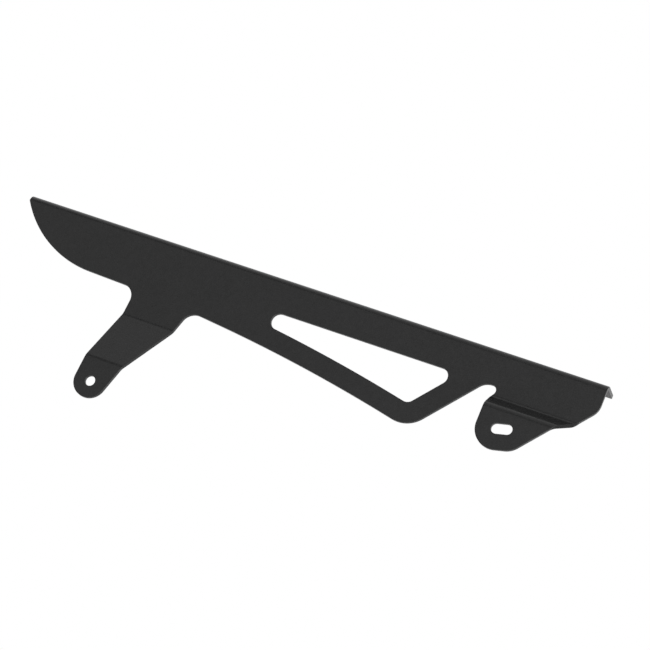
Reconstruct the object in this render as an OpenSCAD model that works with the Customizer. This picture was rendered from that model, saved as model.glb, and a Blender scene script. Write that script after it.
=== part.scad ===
// Motorcycle chain guard: one flat blank, cut out, folded along its top edge and stepped at two lugs.
// The origin is the centre of the round bolt hole, on the face of the arm that is bolted to the frame.
// +X runs along the folded top edge towards the square nose, +Z is up, and +Y is the chain's side,
// to which the top flange is folded. Both lugs are stepped to the other side, towards -Y.
// "Drop" is a height measured down from the top face of the flange.

/* [Sheet] */
// Thickness of the sheet
sheet_t = 2.5; // [1.2:0.1:3]
// Inside radius of the fold along the top edge
fold_r = 2; // [1:0.25:4]
// Width of the top flange, over the fold
flange_w = 21.5; // [12:0.5:40]

/* [Bolt holes] */
// Diameter of the round hole in the arm
hole_d = 6.6; // [5:0.1:9]
// Length of the slotted hole, end to end
slot_l = 13; // [11:0.5:18]
// Width of the slotted hole
slot_w = 6.6; // [5:0.1:9]
// Slope of the slotted hole along its length, in degrees
slot_a = 13; // [0:1:25]
// Distance from the round hole to the middle of the slotted one, along the guard
holes_dx = 250; // [235:1:290]
// Drop of the middle of the slotted hole
slot_drop = 48.2; // [46:0.1:54]

/* [Panel] */
// Drop from the top face to the centre of the round hole
top_z = 105.7; // [100:0.1:120]
// Reach of the pointed tail behind the round hole
tail_reach = 100; // [85:1:130]
// Reach of the square nose past the middle of the slotted hole
nose_past = 48.5; // [44:0.5:56]
// Radius of the rounded corner under the nose
nose_r = 11; // [5:0.5:14]

/* [Tail] */
// Drop of the tail's lower edge, where it meets the arm
tail_drop = 36.9; // [30:0.1:42]
// Fall of the tail's lower edge towards the arm, in degrees
tail_fall = 1.8; // [0:0.1:5]
// Radius of the sweep from the tip to the lower edge
tail_r = 74; // [50:1:90]
// Drop of the tail's pointed end, at the foot of its short upright edge
tip_drop = 4; // [3:0.25:4.5]

/* [Arm] */
// Radius of the arm's round end, about the bolt hole
arm_end_r = 10.8; // [8:0.1:14]
// Lean of the arm's rear edge away from upright, in degrees
arm_rear_lean = 3.7; // [0:0.1:8]
// Lean of the arm's front edge away from upright, in degrees
arm_front_lean = 17.5; // [12:0.5:24]
// Fillet between the tail and the arm
arm_rear_r = 8.4; // [4:0.1:12]
// Fillet between the arm and the rail
arm_front_r = 8.8; // [4:0.1:12]
// Drop of the line where the arm's first bend begins
arm_bend_drop = 53.6; // [51:0.1:57]
// Distance that the arm's end stands out from the panel
arm_step = 20.2; // [12:0.1:26]
// Height of the arm's flat end above the centre of its hole
arm_flat_l = 12.6; // [8:0.1:20]
// Inside radius of the arm's two bends
arm_bend_r = 5; // [2:0.5:8]

/* [Rail and window] */
// Width of the rail under the window and of the brace at its end
rail_w = 13; // [8:0.5:16]
// Drop of the middle of the rail's lower edge
rail_drop = 48; // [45:0.5:52]
// Distance from the slotted hole back to the middle of the rail
rail_mid_back = 135; // [130:1:145]
// Fall of the rail at its middle, in degrees
rail_fall = 8.9; // [7.5:0.1:10.5]
// Radius of the rail's slight bow
rail_r = 1140; // [800:10:1500]
// Length of the bowed stretch, which runs on straight to the arm and to the corner
rail_bow_l = 121; // [90:1:130]
// Outside radius of the corner between the rail and the brace
rail_corner_r = 18.5; // [14:0.5:24]
// Rise of the brace and of the edge under the nose, in degrees
brace_a = 50; // [47:1:53]
// Drop of the window's upper edge
window_drop = 22.4; // [18:0.1:25]
// Radius of the window's corners
window_r = 5.3; // [3:0.1:8]
// Distance along the bowed rail from its middle back to the start of the window's lower edge
window_start = 23; // [15:1:40]

/* [Slotted lug] */
// Distance from the slot's centre line to the lug's rounded edge
lug_r = 13; // [10:0.5:15]
// Drop of the line where the lug's first bend begins
lug_bend_drop = 27.7; // [27:0.1:30]
// Distance that the lug stands out from the panel
lug_step = 9; // [6:0.1:11]
// Height of the lug's flat part above the middle of the slot
lug_flat_l = 9.3; // [7:0.1:11.5]
// Inside radius of the lug's two bends
lug_bend_r = 3; // [1:0.5:4]
// Height of the notch between the brace and the lug, above the lug's first bend line
notch_rise = 5.1; // [5:0.1:8]
// Clear width from the brace to the lug's rear edge, level with the lug's first bend
notch_w = 10.4; // [9:0.1:16]
// Radius of the notch on the side of the lug
notch_lug_r = 3.2; // [2:0.1:3.6]
// Lean of the notch's edge where it runs down onto the lug, in degrees
shoulder_lean = 26; // [15:1:32]
// Depth of the rounded shoulder below the lug's first bend line, along the flat blank
shoulder_d = 2.6; // [1.2:0.1:4]
// Radius of the rounded shoulder
shoulder_r = 11; // [6:0.5:14]

/* [Hidden] */
$fn = 96;
sheet_color = "#343434";
// Facets in a circle with the rail's long radius
long_fn = 1440;
// Room by which a cutting shape passes the metal
over = 1;
// Most degrees of a bend that one cut through it covers
bend_piece_a = 20;
// What two cuts that follow one edge are set apart, so that they never share a plane
hair = 0.004;

// Direction of an angle, the crossing of two lines and the point at a drop
function dir(a) = [cos(a), sin(a)];
function cross_at(p, a, q, b) =
    let (k = ((q[0] - p[0]) * sin(b) - (q[1] - p[1]) * cos(b)) / sin(b - a)) p + k * dir(a);
function at_drop(x, drop) = [x, top_z - drop];
function with_r(p, r) = [p[0], p[1], r];

// Holes and nose, measured from the round hole
holes_dz = top_z - slot_drop;
nose_reach = holes_dx + nose_past;

// A step in the sheet is two equal bends with a straight slope between them. fall is its whole height.
function slope_len(step, fall, r) = sqrt(step * step + fall * fall - 4 * (r + sheet_t / 2) * step);
function slope_angle(step, fall, r) = 2 * atan(step / (fall + slope_len(step, fall, r)));
function bend_len(a, r) = (r + sheet_t / 2) * a * PI / 180;
function step_gain(step, fall, r) =
    2 * bend_len(slope_angle(step, fall, r), r) + slope_len(step, fall, r) - fall;

// Height that each step takes up, and what the flat blank is longer there than the folded sheet
arm_fall = top_z - arm_bend_drop - arm_flat_l;
arm_gain = step_gain(arm_step, arm_fall, arm_bend_r);
lug_fall = slot_drop - lug_bend_drop - lug_flat_l;
lug_gain = step_gain(lug_step, lug_fall, lug_bend_r);

// Arm in the flat blank: its edges are tangents to the round end
arm_end = [0, -arm_gain];
rear_dir = 90 - arm_rear_lean;
front_dir = 90 - arm_front_lean;
rear_on = arm_end + arm_end_r * dir(rear_dir + 90);
front_on = arm_end + arm_end_r * dir(front_dir - 90);
arm_bend = at_drop(0, arm_bend_drop);

// Slotted lug in the flat blank: its edges follow the slot at one distance
slot_mid = [holes_dx, holes_dz - lug_gain];
slot_half = (slot_l - slot_w) / 2;
slot_rear = slot_mid - slot_half * dir(slot_a);
slot_front = slot_mid + slot_half * dir(slot_a);
lug_rear_x = slot_rear[0] - lug_r;
lug_foot_on = slot_rear + lug_r * dir(slot_a - 90);
lug_front_on = slot_front + lug_r * dir(brace_a - 90);
lug_bend = at_drop(lug_rear_x, lug_bend_drop);
lug_rear_corner = cross_at([lug_rear_x, 0], 90, lug_foot_on, slot_a);
lug_front_corner = cross_at(lug_foot_on, slot_a, lug_front_on, brace_a);
shoulder = lug_bend - [0, shoulder_d];

// Rail: an arc whose ends run on as short straight lines
rail_mid = at_drop(holes_dx - rail_mid_back, rail_drop);
rail_half_a = asin(rail_bow_l / 2 / rail_r);
rail_rear_fall = rail_fall - rail_half_a;
rail_front_fall = rail_fall + rail_half_a;
rail_centre = rail_mid - rail_r / cos(rail_half_a) * dir(90 - rail_fall);
brace_on = lug_bend - [notch_w, 0];
rail_corner = cross_at(rail_mid, -rail_front_fall, brace_on, brace_a);
notch_level = at_drop(0, lug_bend_drop - notch_rise);
nose_corner = cross_at(lug_front_on, brace_a, [nose_reach, 0], 90);

// Tail: an arc through the tip, tangent to the lower edge. It runs on past the tip until it is upright.
tip = at_drop(-tail_reach, tip_drop);
arm_root = cross_at(arm_bend, 0, rear_on, rear_dir);
tail_root = cross_at(at_drop(arm_root[0], tail_drop), -tail_fall, rear_on, rear_dir);
tail_centre = sweep_centre(tip, tail_root, tail_fall, tail_r);
tail_far_x = tail_centre[0] - tail_r;
tail_corner = cross_at([tail_far_x, 0], 90, tail_root, -tail_fall);

// Centre of an arc of radius r that passes p and ends tangent to the line through q that falls by a
function sweep_centre(p, q, a, r) =
    let (u = dir(-a), n = dir(90 - a), d = p - q, along = d * u, up = d * n)
    q + (along + sqrt(r * r - (r - up) * (r - up))) * u + r * n;

// Window: the rail and the brace seen from inside, one rail width in
window_low_r = rail_r + rail_w;
window_low_fall = rail_fall - asin(window_start / rail_r);
window_low_on = rail_centre + window_low_r * dir(90 - window_low_fall);
window_end_on = rail_mid + rail_w * dir(90 - rail_front_fall);
window_brace_on = brace_on + rail_w * dir(brace_a + 90);
window_level = at_drop(0, window_drop);
window_rear = cross_at(window_level, 0, window_low_on, -window_low_fall);
window_low = cross_at(window_low_on, -window_low_fall, window_end_on, -rail_front_fall);
window_front = cross_at(window_end_on, -rail_front_fall, window_brace_on, brace_a);
window_top = cross_at(window_level, 0, window_brace_on, brace_a);

// Notch between the brace and the lug: the arc on the brace's side starts just short of the lug's
notch_rear = cross_at(brace_on, brace_a, notch_level, 0);
notch_front = cross_at(shoulder, 90 - shoulder_lean, notch_level, 0);
notch_lug_l = notch_lug_r * tan(45 + shoulder_lean / 2);
notch_brace_r = (notch_front[0] - notch_rear[0] - notch_lug_l - over / 2) / tan(brace_a / 2);

// Panel seen square on, with every corner as x, z and radius, anticlockwise
panel_points = [
    with_r(tail_corner, tail_r),
    with_r(tail_root, arm_rear_r),
    with_r(arm_root, 0),
    with_r(cross_at(arm_bend, 0, front_on, front_dir), 0),
    with_r(cross_at(front_on, front_dir, rail_mid, -rail_rear_fall), arm_front_r),
    with_r(rail_mid, rail_r),
    with_r(rail_corner, rail_corner_r),
    with_r(notch_rear, notch_brace_r),
    with_r(notch_front, notch_lug_r),
    with_r(shoulder, shoulder_r),
    with_r(lug_rear_corner, 0),
    with_r(lug_front_corner, 0),
    with_r(nose_corner, nose_r),
    [nose_reach, top_z + tail_r, 0],
    [tail_far_x, top_z + tail_r, 0]
];
window_points = [
    with_r(window_rear, window_r),
    with_r(window_low, window_low_r),
    with_r(window_front, window_r),
    with_r(window_top, window_r)
];

// Arm and lug in the flat blank, from just above their first bend down
arm_points = [
    with_r(cross_at(arm_bend + [0, over], 0, rear_on, rear_dir), 0),
    with_r(cross_at(rear_on, rear_dir, front_on, front_dir), arm_end_r),
    with_r(cross_at(arm_bend + [0, over], 0, front_on, front_dir), 0)
];
lug_points = [
    with_r(notch_rear - [over, 0], 0),
    with_r(notch_front, notch_lug_r),
    with_r(shoulder, shoulder_r),
    with_r(lug_rear_corner, lug_r),
    with_r(lug_front_corner, lug_r),
    with_r(cross_at(lug_front_on, brace_a, notch_level + [0, over], 0), 0),
    with_r(notch_rear + [-over, over], 0)
];

// Lengths of the guard over which the sheet is stepped, each a little more than its lug
arm_span = [-arm_end_r - over, cross_at(arm_bend, 0, front_on, front_dir)[0] + over];
lug_span = [lug_rear_x - notch_w / 2, nose_reach + over];

// One corner of an outline: its turn, its tangent points and the centre of its arc
function turn(p, i) =
    let (n = len(p), a = p[(i + n - 1) % n], b = p[i], c = p[(i + 1) % n],
         u = [b[0] - a[0], b[1] - a[1]], v = [c[0] - b[0], c[1] - b[1]])
    atan2(u[0] * v[1] - u[1] * v[0], u * v);
function leg(p, i, step) =
    let (n = len(p), b = p[i], c = p[(i + n + step) % n], v = [c[0] - b[0], c[1] - b[1]]) v / norm(v);
function tangent(p, i, step) =
    [p[i][0], p[i][1]] + p[i][2] * tan(abs(turn(p, i)) / 2) * leg(p, i, step);
function arc_centre(p, i) =
    let (m = leg(p, i, -1) + leg(p, i, 1))
    [p[i][0], p[i][1]] + p[i][2] / cos(turn(p, i) / 2) * m / norm(m);

// What an arc stands out past its tangents, so that it crosses them cleanly
function swell(r) = hair + r / 150000;

// The part of a corner's circle that lies past the chord between its tangent points
module round_part(p, i) {
    a = tangent(p, i, -1);
    b = tangent(p, i, 1);
    r = p[i][2];
    along = (b - a) / norm(b - a);
    mid_out = [p[i][0], p[i][1]] - (a + b) / 2;
    out = mid_out / norm(mid_out);
    room = min(r, norm(b - a)) * along;
    back = min(1, r / 5) * out;
    intersection() {
        translate(arc_centre(p, i)) circle(r + swell(r), $fn = r > 200 ? long_fn : $fn);
        polygon([a - room - back, b + room - back, b + room + r * out, a - room + r * out]);
    }
}

// A flat outline: straight chords across its corners, with the arcs added or taken away
module outline(p) {
    chords = [for (i = [0 : len(p) - 1]) each p[i][2] > 0
        ? [tangent(p, i, -1), tangent(p, i, 1)] : [[p[i][0], p[i][1]]]];
    difference() {
        union() {
            polygon(chords);
            for (i = [0 : len(p) - 1]) if (p[i][2] > 0 && turn(p, i) > 0) round_part(p, i);
        }
        for (i = [0 : len(p) - 1]) if (p[i][2] > 0 && turn(p, i) < 0) round_part(p, i);
    }
}

// What lies outside a flat outline, in a box from one corner to another
module outside(low, high) {
    difference() {
        translate(low) square(high - low);
        children();
    }
}

// Flat shape stood up in the X-Z plane, from one Y to another
module upright(from, to) {
    translate([0, to, 0]) rotate([90, 0, 0]) linear_extrude(to - from) children();
}

// Y-Z section run along the guard
module run_along(from, to) {
    translate([from, 0, 0]) rotate([90, 0, 90]) linear_extrude(to - from) children();
}

// Turns what follows about a bend's axis. The front face of the sheet is at y = 0 and the bend starts
// at z = 0. side is 1 where the sheet turns to the front, and -1 where it turns back.
module about_bend(r, a, side) {
    axis_y = side > 0 ? -r : sheet_t + r;
    translate([0, axis_y, 0]) rotate([-side * a, 0, 0]) translate([0, -axis_y, 0]) children();
}

// Section of a stepped lug: the faces of the sheet meet at a corner in each bend, which is rounded.
// high is the height at which the first bend starts, and low is where the section ends.
module step_section(step, fall, r, high, low) {
    a = slope_angle(step, fall, r);
    slope = [-sin(a), -cos(a)] * (slope_len(step, fall, r) + (2 * r + sheet_t) * tan(a / 2));
    front = [0, high - r * tan(a / 2)];
    rear = [sheet_t, high - (r + sheet_t) * tan(a / 2)];
    outline([
        [0, high + over, 0], with_r(front, r), with_r(front + slope, r + sheet_t), [-step, low, 0],
        [sheet_t - step, low, 0], with_r(rear + slope, r), with_r(rear, r + sheet_t),
        [sheet_t, high + over, 0]
    ]);
}

// Cuts one stretch of the sheet to the flat outline that is its child, square to the sheet's faces.
// The stretch runs down from the height from_z in the outline, which is at z = 0 here.
module trim(span, from_z, length, lap) {
    translate([0, 0, -from_z]) upright(-over, sheet_t + over)
        outside([span[0] - over, from_z - length - lap], [span[1] + over, from_z + lap]) children();
}

// Cuts one bend in pieces, each square to the middle of its own few degrees
module trim_bend(span, r, a, side, from_z) {
    pieces = ceil(a / bend_piece_a);
    part_a = a / pieces;
    part_l = bend_len(part_a, r);
    for (k = [0 : pieces - 1])
        about_bend(r, (k + 0.5) * part_a, side)
            translate([k % 2 == 0 ? hair : 0, 0, part_l / 2])
                trim(span, from_z - k * part_l, part_l, sheet_t * tan(part_a / 2)) children();
}

// Cuts a whole stepped lug to its outline in the flat blank, which is its child
module trim_step(span, step, fall, r, high) {
    a = slope_angle(step, fall, r);
    b = bend_len(a, r);
    s = slope_len(step, fall, r);
    translate([0, 0, high]) {
        trim_bend(span, r, a, 1, high) children();
        about_bend(r, a, 1) {
            trim(span, high - b, s, 0) children();
            translate([0, 0, -s]) {
                trim_bend(span, r, a, -1, high - b - s) children();
                about_bend(r, a, -1) trim(span, high - 2 * b - s, top_z, 0) children();
            }
        }
    }
}

// Section of the panel with its top fold and flange, with the panel's front face at y = 0
module angle_section() {
    fold_out = fold_r + sheet_t;
    translate([0, -top_z]) square([sheet_t, 2 * top_z - fold_out]);
    translate([fold_out, top_z - fold_out]) intersection() {
        difference() {
            circle(fold_out);
            circle(fold_r);
        }
        translate([-fold_out, 0]) square(fold_out);
    }
    translate([fold_out, top_z - sheet_t]) square([flange_w - fold_out, sheet_t]);
}

// The folded and stepped sheet, before its outline is cut
module folded_sheet() {
    difference() {
        run_along(-tail_reach, nose_reach + over) angle_section();
        upright(-over, sheet_t + over) step_spans();
    }
    run_along(arm_span[0], arm_span[1])
        step_section(arm_step, arm_fall, arm_bend_r, arm_bend[1], -2 * arm_end_r);
    run_along(lug_span[0], lug_span[1])
        step_section(lug_step, lug_fall, lug_bend_r, lug_bend[1], 0);
}

// Where the sheet leaves the panel's plane, seen square on
module step_spans() {
    translate([arm_span[0], arm_bend[1] - top_z]) square([arm_span[1] - arm_span[0], top_z]);
    translate([lug_span[0], lug_bend[1] - top_z]) square([lug_span[1] - lug_span[0], top_z]);
}

// Everything outside the panel, seen square on
module panel_surround() {
    outside([tail_far_x - over, -top_z - over], [nose_reach + 2 * over, top_z + over]) {
        outline(panel_points);
        step_spans();
    }
    outline(window_points);
}

// Round hole through a lug, along Y
module bolt_hole(d) {
    rotate([90, 0, 0]) cylinder(d = d, h = 4 * sheet_t, center = true);
}

// Slotted hole along the slope of the lug
module bolt_slot() {
    rotate([0, -slot_a, 0]) {
        for (side = [-1, 1]) translate([side * slot_half, 0, 0]) bolt_hole(slot_w);
        cube([2 * slot_half, 4 * sheet_t, slot_w], center = true);
    }
}

module guard_plate() {
    color(sheet_color)
    difference() {
        translate([0, arm_step, 0]) difference() {
            folded_sheet();
            upright(-over, flange_w + over) panel_surround();
            trim_step(arm_span, arm_step, arm_fall, arm_bend_r, arm_bend[1]) outline(arm_points);
            trim_step(lug_span, lug_step, lug_fall, lug_bend_r, lug_bend[1]) outline(lug_points);
        }
        bolt_hole(hole_d);
        translate([holes_dx, arm_step - lug_step, holes_dz]) bolt_slot();
    }
}

guard_plate();
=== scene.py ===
from math import asin, atan, atan2, ceil, cos, degrees, pi, radians, sin, sqrt, tan

import bpy
from mathutils import Matrix, Vector
from mathutils.geometry import delaunay_2d_cdt


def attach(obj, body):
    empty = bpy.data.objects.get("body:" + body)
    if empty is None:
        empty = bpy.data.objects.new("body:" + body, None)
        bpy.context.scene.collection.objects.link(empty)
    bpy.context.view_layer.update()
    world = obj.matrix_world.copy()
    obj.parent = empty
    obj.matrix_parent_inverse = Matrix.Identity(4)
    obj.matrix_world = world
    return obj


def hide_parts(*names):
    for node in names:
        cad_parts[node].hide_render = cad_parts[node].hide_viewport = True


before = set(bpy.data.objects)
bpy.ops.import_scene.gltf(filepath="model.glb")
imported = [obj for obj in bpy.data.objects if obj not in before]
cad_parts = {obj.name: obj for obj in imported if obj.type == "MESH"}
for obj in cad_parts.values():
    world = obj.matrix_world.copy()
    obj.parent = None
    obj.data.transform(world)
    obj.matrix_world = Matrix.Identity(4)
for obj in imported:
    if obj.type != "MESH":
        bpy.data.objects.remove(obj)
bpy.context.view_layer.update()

# Camera: a long lens 1.4 m from the guard, below it and past its nose, and rolled so that the folded
# edge runs down to the right. The three directions are the picture's right, down and forward.
picture_right = Vector((0.89644, 0.22652, 0.38090))
picture_down = Vector((0.30058, 0.32081, -0.89818))
picture_forward = Vector((-0.32565, 0.91966, 0.21950))
camera_at = (0.58818, -1.30250, -0.23044)
camera = bpy.data.objects.new("camera", bpy.data.cameras.new("camera"))
bpy.context.scene.collection.objects.link(camera)
turn = Matrix((picture_right, -picture_down, -picture_forward)).transposed()
camera.matrix_world = Matrix.Translation(camera_at) @ turn.to_4x4()
camera.data.sensor_width, camera.data.lens = 36, 129.79
camera.data.clip_start, camera.data.clip_end = 0.05, 20
bpy.context.scene.camera = camera

# Flat blank: the guard is cut from mild steel sheet 2.5 mm thick, in one piece with its window, its arm
# and lug and their holes. It is drawn here before it is folded, in mm, as corners with radii. Its x is
# the guard's own, and its height is the guard's own where the sheet stays in the panel's plane.
sheet = 2.5
fold_inside = 2.0
fold_outside = fold_inside + sheet
flange_width = 21.5
top = 105.7
tail_x, nose_x = -100.0, 298.5
edge_corner = 0.5

# the arm and the lug are each stepped forward by two bends: how far, the height where the upper bend
# begins, how far the flat end reaches over its hole's centre, and the bends' inside radius
arm_out, arm_high, arm_flat, arm_bend = 20.2, top - 53.6, 12.6, 5.0
lug_out, lug_high, lug_flat, lug_bend = 9.0, top - 27.7, 9.3, 3.0

# the arm's hole is round and lies at the origin, and the lug's is a slot of the same width, at an angle
hole_radius = 3.3
slot_at = Vector((250.0, top - 48.2))
slot_half, slot_angle = 3.2, 13.0


def toward(angle):
    return Vector((cos(radians(angle)), sin(radians(angle))))


def meet(p, a, q, b):
    """Where the line through p at angle a meets the line through q at angle b."""
    d, e, gap = toward(a), toward(b), q - p
    return p + d * ((gap.x * e.y - gap.y * e.x) / (d.x * e.y - d.y * e.x))


def step_sizes(out, fall, radius):
    """Length of the straight slope of a step in the sheet, the angle of its bends and a bend's length."""
    middle = radius + sheet / 2
    slope = sqrt(out * out + fall * fall - 4 * middle * out)
    angle = 2 * atan(out / (fall + slope))
    return slope, angle, middle * angle


# a step's gain is how much longer the sheet is than the height that it goes through
arm_fall = arm_high - arm_flat
arm_slope, arm_angle, arm_bend_length = step_sizes(arm_out, arm_fall, arm_bend)
arm_gain = arm_slope + 2 * arm_bend_length - arm_fall
lug_fall = lug_high - lug_flat - slot_at.y
lug_slope, lug_angle, lug_bend_length = step_sizes(lug_out, lug_fall, lug_bend)
lug_gain = lug_slope + 2 * lug_bend_length - lug_fall

# the arm's edges lean in to its round end
arm_end_radius, arm_rear_lean, arm_front_lean = 10.8, 86.3, 72.5
arm_rear_corner, arm_front_corner = 8.4, 8.8
hole_flat = Vector((0.0, -arm_gain))
arm_level = Vector((0.0, arm_high))
rear_on = hole_flat + arm_end_radius * toward(arm_rear_lean + 90)
front_on = hole_flat + arm_end_radius * toward(arm_front_lean - 90)

# the lug's rear edge, its foot and its front edge keep one distance from the centres of the slot's ends
lug_radius, lug_front_angle = 13.0, 50
shoulder_drop, shoulder_angle, shoulder_radius = 2.6, 64, 11.0
nose_radius = 11.0
slot_flat = slot_at - Vector((0.0, lug_gain))
slot_ends = [slot_flat - slot_half * toward(slot_angle), slot_flat + slot_half * toward(slot_angle)]
lug_rear = slot_ends[0].x - lug_radius
foot_on = slot_ends[0] + lug_radius * toward(slot_angle - 90)
lug_front_on = slot_ends[1] + lug_radius * toward(lug_front_angle - 90)
lug_corner = meet(Vector((lug_rear, 0.0)), 90, foot_on, slot_angle)
lug_toe = meet(foot_on, slot_angle, lug_front_on, lug_front_angle)
shoulder = Vector((lug_rear, lug_high - shoulder_drop))

# the rail bows a little between the arm and the brace, and is as wide as the brace all along
rail_radius, rail_width, rail_angle, rail_length = 1140.0, 13.0, 8.9, 121.0
rail_drop, rail_to_slot, rail_corner, brace_angle = 48.0, 135.0, 18.5, 50
rail_half = degrees(asin(rail_length / 2 / rail_radius))
rail_middle = Vector((slot_at.x - rail_to_slot, top - rail_drop))
rail_centre = rail_middle - rail_radius / cos(radians(rail_half)) * toward(90 - rail_angle)
rail_rear, rail_front = rail_half - rail_angle, -rail_half - rail_angle

# the notch between the brace and the lug has a short flat between its two radii
notch_width, notch_rise, notch_flat, notch_front_radius = 10.4, 5.1, 0.5, 3.2
brace_on = Vector((lug_rear - notch_width, lug_high))
notch_level = Vector((0.0, lug_high + notch_rise))
notch_rear = meet(brace_on, brace_angle, notch_level, 0)
notch_front = meet(shoulder, shoulder_angle, notch_level, 0)
notch_front_length = notch_front_radius * tan(radians(90 - shoulder_angle / 2))
notch_rear_length = notch_front.x - notch_rear.x - notch_front_length - notch_flat
notch_rear_radius = notch_rear_length / tan(radians(brace_angle / 2))

# the tail's lower edge falls a little towards the arm, and sweeps up to the pointed tip in one arc
tail_radius, tail_angle, tail_drop, tip_drop = 74.0, -1.8, 36.9, 4.0
tip = Vector((tail_x, top - tip_drop))
arm_root = meet(arm_level, 0, rear_on, arm_rear_lean)
tail_root = meet(Vector((arm_root.x, top - tail_drop)), tail_angle, rear_on, arm_rear_lean)
tip_along = (tip - tail_root) @ toward(tail_angle)
tip_up = (tip - tail_root) @ toward(tail_angle + 90)
tail_foot_along = tip_along + sqrt(tail_radius**2 - (tail_radius - tip_up) ** 2)
tail_foot = tail_root + tail_foot_along * toward(tail_angle)
tail_centre = tail_foot + tail_radius * toward(tail_angle + 90)

# the window is the rail and the brace seen from inside
window_corner, window_start, window_drop = 5.3, 23.0, 22.4
window_level = Vector((0.0, top - window_drop))
window_rear = degrees(asin(window_start / rail_radius)) - rail_angle
window_on = rail_centre + (rail_radius + rail_width) * toward(90 + window_rear)
window_end = rail_middle + rail_width * toward(90 + rail_front)
window_brace = brace_on + rail_width * toward(brace_angle + 90)

# in the blank, the sheet over the fold is laid out straight
fold_low = top - fold_outside
fold_high = fold_low + (fold_inside + sheet / 2) * pi / 2
edge_high = fold_high + flange_width - fold_outside

# the longest step along an arc, in mm, and the most that the arc turns on it, in degrees
arc_step, arc_turn = 1.2, 7


def arc(centre, radius, start, end):
    """Points along an arc, from one angle to another."""
    turned = abs(end - start)
    steps = max(2, ceil(turned / arc_turn), ceil(radians(turned) * radius / arc_step))
    return [centre + radius * toward(start + (end - start) * i / steps) for i in range(steps + 1)]


def rounded(corners):
    """A closed run of points round the corners, each given as a point and its radius, or 0 if sharp."""
    run = []
    for i, (corner, radius) in enumerate(corners):
        if radius == 0:
            run.append(corner)
            continue
        back = (corners[i - 1][0] - corner).normalized()
        on = (corners[(i + 1) % len(corners)][0] - corner).normalized()
        half = back.angle(on) / 2
        centre = corner + (back + on).normalized() * radius / sin(half)
        start, end = ((corner + way * radius / tan(half)) - centre for way in (back, on))
        a = degrees(atan2(start.y, start.x))
        b = a + (degrees(atan2(end.y, end.x)) - a + 180) % 360 - 180
        run += arc(centre, radius, a, b)
    return run


# the tail's arc is the only one that ends at a corner, so its run is made by itself, and its two sharp
# points below only lead the roundings beside it and are left out again
tail_start = degrees(atan2(tip.y - tail_centre.y, tip.x - tail_centre.x)) + 360
tail_run = arc(tail_centre, tail_radius, tail_start, 270 + tail_angle)
outer_run = tail_run[1:] + rounded([
    (tail_root, arm_rear_corner),
    (meet(rear_on, arm_rear_lean, front_on, arm_front_lean), arm_end_radius),
    (meet(front_on, arm_front_lean, rail_middle, rail_rear), arm_front_corner),
    (rail_middle, rail_radius),
    (meet(rail_middle, rail_front, brace_on, brace_angle), rail_corner),
    (notch_rear, notch_rear_radius),
    (notch_front, notch_front_radius),
    (shoulder, shoulder_radius),
    (lug_corner, lug_radius),
    (lug_toe, lug_radius),
    (meet(lug_front_on, lug_front_angle, Vector((nose_x, 0.0)), 90), nose_radius),
    (Vector((nose_x, edge_high)), edge_corner),
    (Vector((tail_x, edge_high)), edge_corner),
    (tip, edge_corner),
    (tail_run[1], 0),
    (tail_foot, 0),
])[:-2]
window_run = rounded([
    (meet(window_level, 0, window_on, window_rear), window_corner),
    (meet(window_on, window_rear, window_end, rail_front), rail_radius + rail_width),
    (meet(window_end, rail_front, window_brace, brace_angle), window_corner),
    (meet(window_level, 0, window_brace, brace_angle), window_corner),
])[::-1]
hole_run = arc(hole_flat, hole_radius, 360, 0)[:-1]
slot_run = (arc(slot_ends[1], hole_radius, slot_angle + 90, slot_angle - 90)
            + arc(slot_ends[0], hole_radius, slot_angle - 90, slot_angle - 270))

# Folding: the top edge is folded 90 degrees back over the chain, and the arm and the lug are stepped
# forward by two equal bends each, with a straight slope between them. Every point of the blank keeps
# its depth in the sheet, so the faces stay parallel and the cut edges stay square to them.
arm_ends_x, lug_starts_x = 60, notch_rear.x


def folded(x, high, depth):
    """Place in the guard of a point of the blank, and the sheet's own upward direction there, in mm."""
    front = arm_out
    if high > fold_high:
        return Vector((x, front + fold_outside + high - fold_high, top - depth)), Vector((0, 1, 0))
    if high > fold_low:
        a, r = (high - fold_low) / (fold_inside + sheet / 2), fold_outside - depth
        up = Vector((0, sin(a), cos(a)))
        return Vector((x, front + fold_outside - r * cos(a), fold_low + r * sin(a))), up
    if x < arm_ends_x and high < arm_high:
        slope, angle, radius, gain = arm_slope, arm_angle, arm_bend, arm_gain
        start, out = arm_high, arm_out
    elif x > lug_starts_x and high < lug_high:
        slope, angle, radius, gain = lug_slope, lug_angle, lug_bend, lug_gain
        start, out = lug_high, lug_out
    else:
        return Vector((x, front + depth, high)), Vector((0, 0, 1))

    # down a step come a bend, the slope, the other bend and the flat end
    below, middle = start - high, radius + sheet / 2
    if below < middle * angle:
        a, r = below / middle, radius + depth
        up = Vector((0, sin(a), cos(a)))
        return Vector((x, front - radius + r * cos(a), start - r * sin(a))), up
    if below < middle * angle + slope:
        on, r = below - middle * angle, radius + depth
        up = Vector((0, sin(angle), cos(angle)))
        forward = radius - r * cos(angle) + on * sin(angle)
        return Vector((x, front - forward, start - r * sin(angle) - on * cos(angle))), up
    if below < 2 * middle * angle + slope:
        a, r = angle - (below - middle * angle - slope) / middle, radius + sheet - depth
        up = Vector((0, sin(a), cos(a)))
        low = start + gain - 2 * middle * angle - slope
        return Vector((x, front - out + radius + sheet - r * cos(a), low + r * sin(a))), up
    return Vector((x, front - out + depth, high + gain)), Vector((0, 0, 1))


def bend_rows(start, length, count):
    """Heights in the blank, from the top of a bend down to its end."""
    return [start - length * i / count for i in range(count + 1)]


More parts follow.
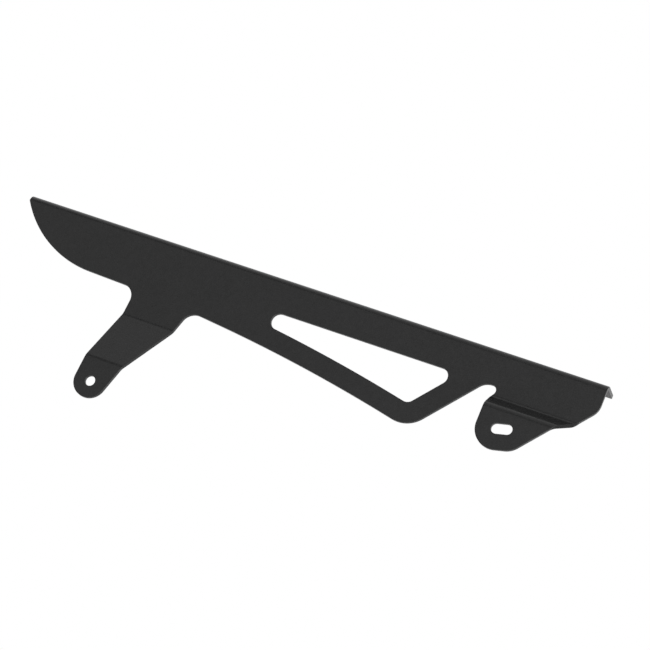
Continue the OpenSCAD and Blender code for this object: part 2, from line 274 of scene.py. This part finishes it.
# from row to row, the fold and the lug's bends turn by about 6 degrees, and the arm's by about 4
fold_rows = bend_rows(fold_high, fold_high - fold_low, 14)
arm_rows = (bend_rows(arm_high, arm_bend_length, 8)
            + bend_rows(arm_high - arm_bend_length - arm_slope, arm_bend_length, 8))
lug_rows = (bend_rows(lug_high, lug_bend_length, 9)
            + bend_rows(lug_high - lug_bend_length - lug_slope, lug_bend_length, 9))

# lengths in mm along a run: its longest side, its shortest, and what counts as no side at all
longest_side, shortest_side, no_side = 4, 0.03, 1e-4


def rows_near(x):
    """The bends' rows at one place along the guard. The lug's begin half a millimetre inside it."""
    return fold_rows + (arm_rows if x < arm_ends_x else lug_rows if x > lug_starts_x + 0.5 else [])


def run_along(run):
    """The run with points added on every bend's rows and along its longer sides."""
    done = []
    for i, p in enumerate(run):
        q = run[(i + 1) % len(run)]
        if (q - p).length < no_side:
            continue
        parts = ceil((q - p).length / longest_side)
        cuts = {k / parts for k in range(parts)}
        cuts |= {(row - p.y) / (q.y - p.y) for row in rows_near(p.x) if min(p.y, q.y) < row < max(p.y, q.y)}
        last = None
        for cut in sorted(cuts):
            here = p + (q - p) * cut
            if last is None or (here - last).length > shortest_side:
                done.append(here)
                last = here
    return done


# Plate: the folded sheet as one closed skin. Its cut edges are rounded by the thick powder coat, which
# draws back a little on the edge of a laser cut, and it is held only by its two bolts.
mm = 0.001
edge_radius = 0.2
edge_steps = 4
runs = [run_along(run) for run in (outer_run, window_run, hole_run, slot_run)]


def outward(run):
    """Direction out of the metal at each point of a run, and how much further a corner has to move."""
    ways = []
    for i, p in enumerate(run):
        back, on = (p - run[i - 1]).normalized(), (run[(i + 1) % len(run)] - p).normalized()
        way = (Vector((back.y, -back.x)) + Vector((on.y, -on.x))).normalized()
        ways.append((way, 1 / max(0.5, way @ Vector((on.y, -on.x)))))
    return ways


def within(run, p):
    """Whether a point lies inside a closed run."""
    inside = False
    for i, q in enumerate(run):
        r = run[i - 1]
        if (q.y > p.y) != (r.y > p.y) and p.x < (r.x - q.x) * (p.y - q.y) / (r.y - q.y) + q.x:
            inside = not inside
    return inside


# the metal is inside the outer run and outside the window and the holes, each drawn back by the rounding
drawn_back = [[p - way * edge_radius * corner for p, (way, corner) in zip(run, outward(run))]
              for run in runs]


def in_metal(p):
    return within(drawn_back[0], p) and not any(within(run, p) for run in drawn_back[1:])


# a cut edge goes from one face over the rounding, square through the sheet and over to the other face
points, normals, faces = [], [], []
flat, front_ids, back_ids, border = [], [], [], []
for run, inner in zip(runs, drawn_back):
    ways = outward(run)
    profile = [(edge_radius * (1 - sin(a)), edge_radius * (1 - cos(a)), a)
               for a in (k * pi / 2 / edge_steps for k in range(edge_steps + 1))]
    profile += [(inset, sheet - depth, pi - a) for inset, depth, a in profile[::-1]]
    ring = []
    for inset, depth, a in profile:
        row = []
        for p, (way, corner) in zip(run, ways):
            at = p - way * inset * corner
            place, up = folded(at.x, at.y, depth)
            front = Vector((0, -up.z, up.y))
            edge = Vector((way.x, 0, 0)) + up * way.y
            row.append(len(points))
            points.append(place * mm)
            normals.append((front * cos(a) + edge * sin(a)).normalized())
        ring.append(row)
    for upper, lower in zip(ring, ring[1:]):
        for i in range(len(run)):
            k = (i + 1) % len(run)
            faces.append((upper[i], lower[i], lower[k], upper[k]))
    border += [(len(flat) + i, len(flat) + (i + 1) % len(inner)) for i in range(len(inner))]
    flat += inner
    front_ids += ring[0]
    back_ids += ring[-1]

# the two faces are filled with triangles that keep to the bends' rows: points every few mm on each row,
# a grid between the rows, and none close to a cut edge, which is looked up in squares of 2 mm
square = 2
grid = 8
room_on_row, room_in_grid, room_to_row = 0.5, 1.5, 2
spots = {}
for p in flat:
    spots.setdefault((p.x // square, p.y // square), []).append(p)


def clear(p, room):
    """Whether a point keeps its distance from all the cut edges' points."""
    squares = [(i, j) for i in (-1, 0, 1) for j in (-1, 0, 1)]
    near = (q for i, j in squares for q in spots.get((p.x // square + i, p.y // square + j), ()))
    return all((q - p).length > room for q in near)


def along_rows(rows, start, end, step):
    """Points on each of the rows, at equal steps."""
    return [Vector((start + step * i, row)) for row in rows for i in range(int((end - start) / step) + 1)]


on_rows = along_rows(fold_rows, tail_x + 2, 295, 3)
on_rows += along_rows(arm_rows, -14, 32.5, 1.5)
on_rows += along_rows(lug_rows, 232, 298, 1.5)
between = [Vector((tail_x + grid * i + grid / 2 * (1 + j % 2), grid * j - 18))
           for i in range(50) for j in range(19)]
between = [p for p in between if all(abs(p.y - row) > room_to_row for row in rows_near(p.x))]
for p, room in [(p, room_on_row) for p in on_rows] + [(p, room_in_grid) for p in between]:
    if in_metal(p) and clear(p, room):
        for ids, depth, side in ((front_ids, 0, 1), (back_ids, sheet, -1)):
            place, up = folded(p.x, p.y, depth)
            ids.append(len(points))
            points.append(place * mm)
            normals.append(Vector((0, -up.z, up.y)) * side)
        flat.append(p)
filled = delaunay_2d_cdt(flat, border, [], 0, 1e-6, True)
hull, came_from = filled[2], filled[3]
triangles = [[came_from[v][0] for v in corners] for corners in hull]
beside = {}
for n, (a, b, c) in enumerate(triangles):
    for side in ((a, b), (b, c), (c, a)):
        beside.setdefault(frozenset(side), []).append(n)
walls = {frozenset(side) for side in border}

# the triangles fill the whole hull, and metal is what lies past an odd number of borders from outside
is_metal = {n: side in walls for side, found in beside.items() if len(found) == 1 for n in found}
reached = list(is_metal)
for n in reached:
    a, b, c = triangles[n]
    for side in map(frozenset, ((a, b), (b, c), (c, a))):
        for other in beside[side]:
            if other not in is_metal:
                is_metal[other] = is_metal[n] ^ (side in walls)
                reached.append(other)
for n, (a, b, c) in enumerate(triangles):
    if is_metal[n]:
        faces.append((front_ids[a], front_ids[b], front_ids[c]))
        faces.append((back_ids[c], back_ids[b], back_ids[a]))

mesh = bpy.data.meshes.new("folded_plate")
mesh.from_pydata(points, [], faces)
mesh.validate()
mesh.shade_smooth()
mesh.normals_split_custom_set_from_vertices(normals)
plate = bpy.data.objects.new("folded_plate", mesh)
bpy.context.scene.collection.objects.link(plate)
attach(plate, "root")
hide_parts("guard_plate")


# Powder coat: a baked polyester powder in satin black with a fine dry texture, sprayed all over after
# the folding. The grains are up to a millimetre wide, on a slight orange peel.
class Signal:
    """A socket in a node tree, which adds Math nodes where it takes part in a sum."""

    def __init__(self, tree, socket=None):
        self.tree, self.socket = tree, socket

    def node(self, kind, settings=None, sockets=None, out=0):
        """A new node with its settings and sockets, as the Signal of one of its outputs, if it has any."""
        made = self.tree.nodes.new(kind)
        for name, value in (settings or {}).items():
            setattr(made, name, value)
        for name, value in (sockets or {}).items():
            if isinstance(value, Signal):
                self.tree.links.new(value.socket, made.inputs[name])
            else:
                made.inputs[name].default_value = value
        return Signal(self.tree, made.outputs[out] if len(made.outputs) else None)

    def math(self, operation, a, b):
        return self.node("ShaderNodeMath", {"operation": operation}, {0: a, 1: b})

    def __add__(self, other):
        return self.math("ADD", self, other)

    def __mul__(self, other):
        return self.math("MULTIPLY", self, other)

    def __sub__(self, other):
        return self.math("SUBTRACT", self, other)

    def __rsub__(self, other):
        return self.math("SUBTRACT", other, self)

    __radd__, __rmul__ = __add__, __mul__


def material_tree(name):
    """A new material and its empty node tree."""
    made = bpy.data.materials.new(name)
    made.use_nodes = True
    made.node_tree.nodes.clear()
    return made, Signal(made.node_tree)


powder_coat, tree = material_tree("powder_coat")
place = tree.node("ShaderNodeTexCoord", out="Object")
grains = tree.node("ShaderNodeTexNoise", {}, {
    "Vector": place, "Scale": 1500.0, "Detail": 3.0, "Roughness": 0.6})
specks = tree.node("ShaderNodeTexVoronoi", {"feature": "F1"}, {"Vector": place, "Scale": 950.0})
peel = tree.node("ShaderNodeTexNoise", {}, {"Vector": place, "Scale": 420.0, "Detail": 2.0})
cloud = tree.node("ShaderNodeTexNoise", {}, {"Vector": place, "Scale": 28.0, "Detail": 3.0})
texture = grains * 0.55 + (1 - specks) * 0.45
tint = 0.5 + (texture - 0.5) + (peel - 0.5) * 0.7 + (cloud - 0.5) * 0.35
darkest, lightest = (0.0056, 0.0056, 0.0057, 1), (0.0160, 0.0160, 0.0162, 1)
colour = tree.node("ShaderNodeMix", {"data_type": "RGBA"}, {0: tint, 6: darkest, 7: lightest}, out=2)
rough = 0.29 + (cloud - 0.5) * 0.05 + (texture - 0.5) * 0.10
relief = tree.node("ShaderNodeBump", {}, {
    "Strength": 0.5, "Distance": 0.00014, "Height": texture * 0.8 + peel * 0.6})
coat = tree.node("ShaderNodeBsdfPrincipled", {}, {
    "Base Color": colour, "Roughness": rough, "Normal": relief, "Specular IOR Level": 0.275, "IOR": 1.5})
tree.node("ShaderNodeOutputMaterial", {}, {"Surface": coat})
mesh.materials.append(powder_coat)


# Floor and backdrop: a plain pale studio floor well below the guard, which hangs clear by its bolts,
# and a white surround. What looks at them sees them pale: the light they give is a plain soft grey.
def seen(tree):
    """1 for what looks at a surface straight, in a mirror or through glass, and 0 for its light."""
    straight, mirrored, through = (tree.node("ShaderNodeLightPath", out="Is %s Ray" % kind)
                                   for kind in ("Camera", "Glossy", "Transmission"))
    return tree.math("MAXIMUM", tree.math("MAXIMUM", straight, mirrored), through)


def matt_plane(name, paint, size, place, grey):
    """A plain plane, the node tree of its material and its matt shader, not yet joined to an output."""
    bpy.ops.mesh.primitive_plane_add(size=size, location=place)
    plane = bpy.context.object
    plane.name = name
    made, tree = material_tree(paint)
    plane.data.materials.append(made)
    matt = tree.node("ShaderNodeBsdfPrincipled", {}, {"Base Color": (grey, grey, grey, 1), "Roughness": 0.9})
    return plane, tree, matt


floor, tree, matt = matt_plane("studio_floor", "floor_paint", 16, (0.1, 0, -1.5), 0.86)
lit = tree.node("ShaderNodeEmission", {}, {"Color": (1, 1, 1, 1), "Strength": 1.0})
pale = tree.node("ShaderNodeMixShader", {}, {0: seen(tree) * 0.3, 1: matt, 2: lit})
tree.node("ShaderNodeOutputMaterial", {}, {"Surface": pale})

surround = bpy.data.worlds.new("studio_surround")
bpy.context.scene.world = surround
surround.use_nodes = True
surround.node_tree.nodes.clear()
tree = Signal(surround.node_tree)
level = tree.node("ShaderNodeBackground", {}, {"Color": (1, 1, 1, 1), "Strength": 0.36})
shown = tree.node("ShaderNodeBackground", {}, {"Color": (1, 1, 1, 1), "Strength": 1.0})
mixed = tree.node("ShaderNodeMixShader", {}, {0: seen(tree), 1: level, 2: shown})
tree.node("ShaderNodeOutputWorld", {}, {"Surface": mixed})

# Lamps: a large soft box behind the camera and lower than it, a smaller one low past the nose, and a
# weak one overhead. A fourth lights the chain side from behind, and the coat doesn't mirror it.
guard_middle = (0.1, 0.02, 0.05)
nose_side = (0.2, 0.02, 0.05)


def facing(place, aim):
    """The turn of a lamp or a card at one place that looks at another."""
    return (Vector(aim) - Vector(place)).to_track_quat("-Z", "Y").to_euler()


def soft_box(name, place, aim, size, watts, mirrored=True):
    """A square lamp that the camera doesn't see."""
    lamp = bpy.data.objects.new(name, bpy.data.lights.new(name, "AREA"))
    lamp.data.shape, lamp.data.size, lamp.data.energy = "SQUARE", size, watts
    lamp.location = place
    lamp.rotation_euler = facing(place, aim)
    lamp.visible_camera, lamp.visible_glossy = False, mirrored
    bpy.context.scene.collection.objects.link(lamp)


soft_box("front_box", (0.9, -1.65, -0.55), guard_middle, 1.3, 27)
soft_box("right_box", (1.3, -0.4, -0.5), nose_side, 0.6, 6)
soft_box("back_box", (-0.4, 1.65, 0.45), guard_middle, 0.6, 16, mirrored=False)
soft_box("top_box", (-0.4, 0.3, 1.3), guard_middle, 0.9, 1)

# Dark card: a grey felt-covered board above the camera, between the light from the front and the light
# from overhead. The guard's bends mirror it as soft dark lines. It takes no light from the guard.
card_at = (-0.3, -0.81, 0.82)
card, tree, felt = matt_plane("dark_card", "card_felt", 1, card_at, 0.45)
card.scale = (1.8, 0.34, 1)
card.rotation_euler = facing(card_at, guard_middle)
card.visible_camera = card.visible_diffuse = card.visible_shadow = False
tree.node("ShaderNodeOutputMaterial", {}, {"Surface": felt})

# View: colours are shown through the plain Standard view transform.
bpy.context.scene.view_settings.view_transform = "Standard"
